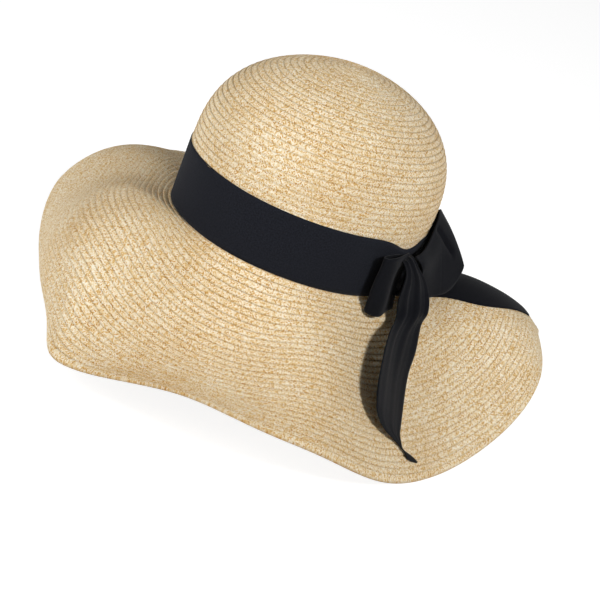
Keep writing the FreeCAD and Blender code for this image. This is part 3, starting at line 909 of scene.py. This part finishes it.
# each tail: rows by the knot in the bow's axes, then stations over the brim, each with azimuth,
# reach and clearance for both edges, and the arch between them
frontTail = {
    "rows": [
        [(-0.6, -16.0, 10.0), (-1.2, -4.5, 11.4)],
        [(3.0, -18.6, 10.6), (1.6, -4.6, 13.2)],
        [(6.6, -17.6, 6.6), (6.2, -2.2, 8.6)],
        [(8.2, -16.2, -2.4), (10.6, 7.4, -0.2)],
        [(9.6, -17.0, -15.5), (15.0, 13.6, -10.0)],
        [(11.0, -13.6, -26.0), (20.4, 12.6, -22.0)],
    ],
    "stations": [
        ((-22.4, 0.205, 16), (-1.7, 0.224, 2.5), 0),
        ((-29.1, 0.331, 18), (-7.3, 0.331, 2.5), 0),
        ((-33.3, 0.513, 17), (-12.0, 0.43, 2.5), 0.4),
        ((-33.0, 0.611, 13), (-15.9, 0.568, 2), 1),
        ((-31.8, 0.662, 10), (-19.0, 0.695, 2), 1),
        ((-28.2, 0.724, 6.5), (-20.2, 0.751, 1.9), 0.6),
        ((-22.6, 0.785, 3), (-20.3, 0.785, 1.7), 0),
        ((-21.1, 0.820, 2.4), (-20.4, 0.818, 1.8), 0),
        ((-20.3, 0.848, 2.4), (-19.6, 0.842, 1.8), 0),
        ((-19.7, 0.882, 2.2), (-18.1, 0.868, 1.5), 0.3),
        ((-17.2, 0.908, 1.4), (-16.8, 0.904, 1.2), 0),
    ],
    "size": (130, 25),
    # pleats that start below the knot and fade twice on the way down, and stay off the edges
    "pleats": {"rise": (0.02, 0.10), "fade": (0.28, 0.60), "faded": 0.75, "end": (0.7, 0.85),
               "edge": 0.12},
    # height, number across, shift and slant of the broad and of the fine pleats
    "pleatWaves": [(0.8, 2.3, -0.1, 0.3), (0.3, 5.1, 0.0, 0.9)],
    "thickness": 0.0006,
    "flat": (0.036, 0.140),
    "blend": ((6.0, -4.0, 4.0), (9.0, -2.0, -14.0)),
}
backTail = {
    "rows": [
        [(7.4, 9.2, -17.0), (-1.0, 9.2, -17.0)],
    ],
    "stations": [
        ((3.5, 0.12, 4), (6, 0.045, 2), 0),
        ((9, 0.15, 1.8), (15, 0.06, 1.5), 0),
        ((12, 0.225, 1.6), (24, 0.15, 1.4), 0.4),
        ((13.5, 0.31, 1.5), (29, 0.26, 1.4), 0.5),
        ((15.2, 0.42, 1.5), (31, 0.40, 1.4), 0.6),
        ((17.8, 0.53, 1.5), (31, 0.54, 1.4), 0.6),
        ((21, 0.64, 1.5), (30, 0.65, 1.4), 0.4),
        ((24, 0.74, 1.4), (28.5, 0.75, 1.4), 0.2),
        ((25.8, 0.80, 1.3), (27, 0.81, 1.3), 0),
    ],
    "size": (90, 19),
    "thickness": 0.0006,
    "flat": (0.036, 0.110),
    "blend": ((2.0, 9.0, -16.0), (10.0, 12.0, -22.0)),
}


def tailGrid(tail, controlColumns=9):
    rows, columns = tail["size"]
    share = np.linspace(0, 1, controlColumns)
    control = []
    for lower, upper in tail["rows"]:
        lower, upper = np.array(lower), np.array(upper)
        control.append(bowSpot(lower + (upper - lower) * share[:, None]))
    for lower, upper, arch in tail["stations"]:
        lower, upper = np.array(lower, float), np.array(upper, float)
        azimuth, reach, clear = (lower + (upper - lower) * share[:, None]).T
        control.append(brimSpot(azimuth, reach, clear + arch * 4 * share * (1 - share)))
    return smoothPatch(control, rows, columns)


def layFrontTail():
    rows, columns = frontTail["size"]
    down = np.linspace(0, 1, rows)[:, None]
    share = np.linspace(0, 1, columns)[None]
    pleats = frontTail["pleats"]
    fade = softStep(*pleats["rise"], down)
    fade = fade * (1 - pleats["faded"] * softStep(*pleats["fade"], down))
    fade = fade * (1 - softStep(*pleats["end"], down))
    fade = fade * softStep(0, pleats["edge"], share) * softStep(0, pleats["edge"], 1 - share)
    waves = sum(height * np.cos(2 * math.pi * (across * share + shift + slant * down))
                for height, across, shift, slant in frontTail["pleatWaves"])
    grid = pushed(tailGrid(frontTail), -fade * waves)
    piece = clothPiece("tailFront", grid, frontTail["thickness"], "", ["bow_front_tail"],
                       bowShadedMaterial)
    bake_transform(piece)


def layBackTail():
    piece = clothPiece("tailBack", tailGrid(backTail), backTail["thickness"], "",
                       ["bow_back_tail"], bowShadedMaterial)
    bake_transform(piece)


layKnot()
layFrontLoop()
layBackLoop()
layFrontTail()
layBackTail()
print("bow tied")

# ---- floor, light and camera ----

stage = {
    "size": 30,
    "drop": 0.0005,
    "grey": 0.75,
    "fill": 0.35,       # how much of the floor's white takes light, and so keeps the shadow
    "glow": 0.88,
    "air": 0.08,
    # name, place, size and power of each soft lamp, all aimed at the hat
    "lamps": [
        ("keyLamp", (1.75, -0.75, 1.35), 0.45, 40),
        ("fillLamp", (-1.2, -1.85, 0.85), 1.4, 46),
        ("backLamp", (1.3, 1.9, 0.8), 1.4, 2.5),
    ],
    "aim": (0.02, 0.0, 0.0),
}


def clearRays(tree):
    # 1 for the rays that show the background itself
    ray = addNode(tree, "ShaderNodeLightPath")
    clear = calc(tree, "MAXIMUM", ray.outputs["Is Camera Ray"], ray.outputs["Is Glossy Ray"])
    return calc(tree, "MAXIMUM", clear, ray.outputs["Is Transmission Ray"])


def makeFloor():
    # white to the camera, with the hat's shadow kept, and plain pale grey to every other ray
    material = bpy.data.materials.new("studioWhite")
    material.use_nodes = True
    tree = material.node_tree
    tree.nodes.clear()
    plain = addNode(tree, "ShaderNodeBsdfDiffuse")
    plain.inputs[0].default_value = (stage["grey"],) * 3 + (1,)
    seen = addNode(tree, "ShaderNodeBsdfDiffuse")
    seen.inputs[0].default_value = (stage["fill"],) * 3 + (1,)
    glow = addNode(tree, "ShaderNodeEmission")
    glow.inputs["Strength"].default_value = stage["glow"]
    both = addNode(tree, "ShaderNodeAddShader")
    tree.links.new(seen.outputs[0], both.inputs[0])
    tree.links.new(glow.outputs[0], both.inputs[1])
    pick = addNode(tree, "ShaderNodeMixShader")
    output = addNode(tree, "ShaderNodeOutputMaterial")
    tree.links.new(clearRays(tree), pick.inputs[0])
    tree.links.new(plain.outputs[0], pick.inputs[1])
    tree.links.new(both.outputs[0], pick.inputs[2])
    tree.links.new(pick.outputs[0], output.inputs[0])
    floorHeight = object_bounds()[0][2] - stage["drop"]
    bpy.ops.mesh.primitive_plane_add(size=stage["size"], location=(0, 0, floorHeight))
    floor = bpy.context.object
    floor.name = "studioFloor"
    floor.data.materials.append(material)


def makeAir():
    world = bpy.data.worlds.new("studioAir")
    bpy.context.scene.world = world
    world.use_nodes = True
    tree = world.node_tree
    tree.nodes.clear()
    level = addNode(tree, "ShaderNodeMapRange")
    level.inputs["To Min"].default_value = stage["air"]
    level.inputs["To Max"].default_value = 1.0
    tree.links.new(clearRays(tree), level.inputs["Value"])
    sky = addNode(tree, "ShaderNodeBackground")
    sky.inputs["Color"].default_value = (1, 1, 1, 1)
    output = addNode(tree, "ShaderNodeOutputWorld")
    tree.links.new(level.outputs[0], sky.inputs["Strength"])
    tree.links.new(sky.outputs[0], output.inputs[0])


def makeLamps():
    for name, place, size, power in stage["lamps"]:
        data = bpy.data.lights.new(name, "AREA")
        data.size = size
        data.energy = power
        lamp = bpy.data.objects.new(name, data)
        lamp.location = place
        aim = Vector(stage["aim"]) - Vector(place)
        lamp.rotation_euler = aim.to_track_quat("-Z", "Y").to_euler()
        bpy.context.scene.collection.objects.link(lamp)


viewpoint = {
    "place": (0.3897, -1.0707, 0.3755),
    "target": (0.0249, -0.0052, -0.0379),
    "roll": 21.84,
    "lens": 103.4,
}


def makeCamera():
    data = bpy.data.cameras.new("camera")
    data.lens = viewpoint["lens"]
    data.sensor_width = 36
    data.clip_start, data.clip_end = 0.05, 50
    camera = bpy.data.objects.new("camera", data)
    camera.location = viewpoint["place"]
    aim = Vector(viewpoint["target"]) - Vector(viewpoint["place"])
    turn = aim.to_track_quat("-Z", "Y").to_matrix() @ Matrix.Rotation(
        math.radians(viewpoint["roll"]), 3, "Z")
    camera.rotation_euler = turn.to_euler()
    bpy.context.scene.collection.objects.link(camera)
    bpy.context.scene.camera = camera


makeFloor()
makeAir()
makeLamps()
makeCamera()
bpy.context.scene.view_settings.view_transform = "Standard"
print("stage set")
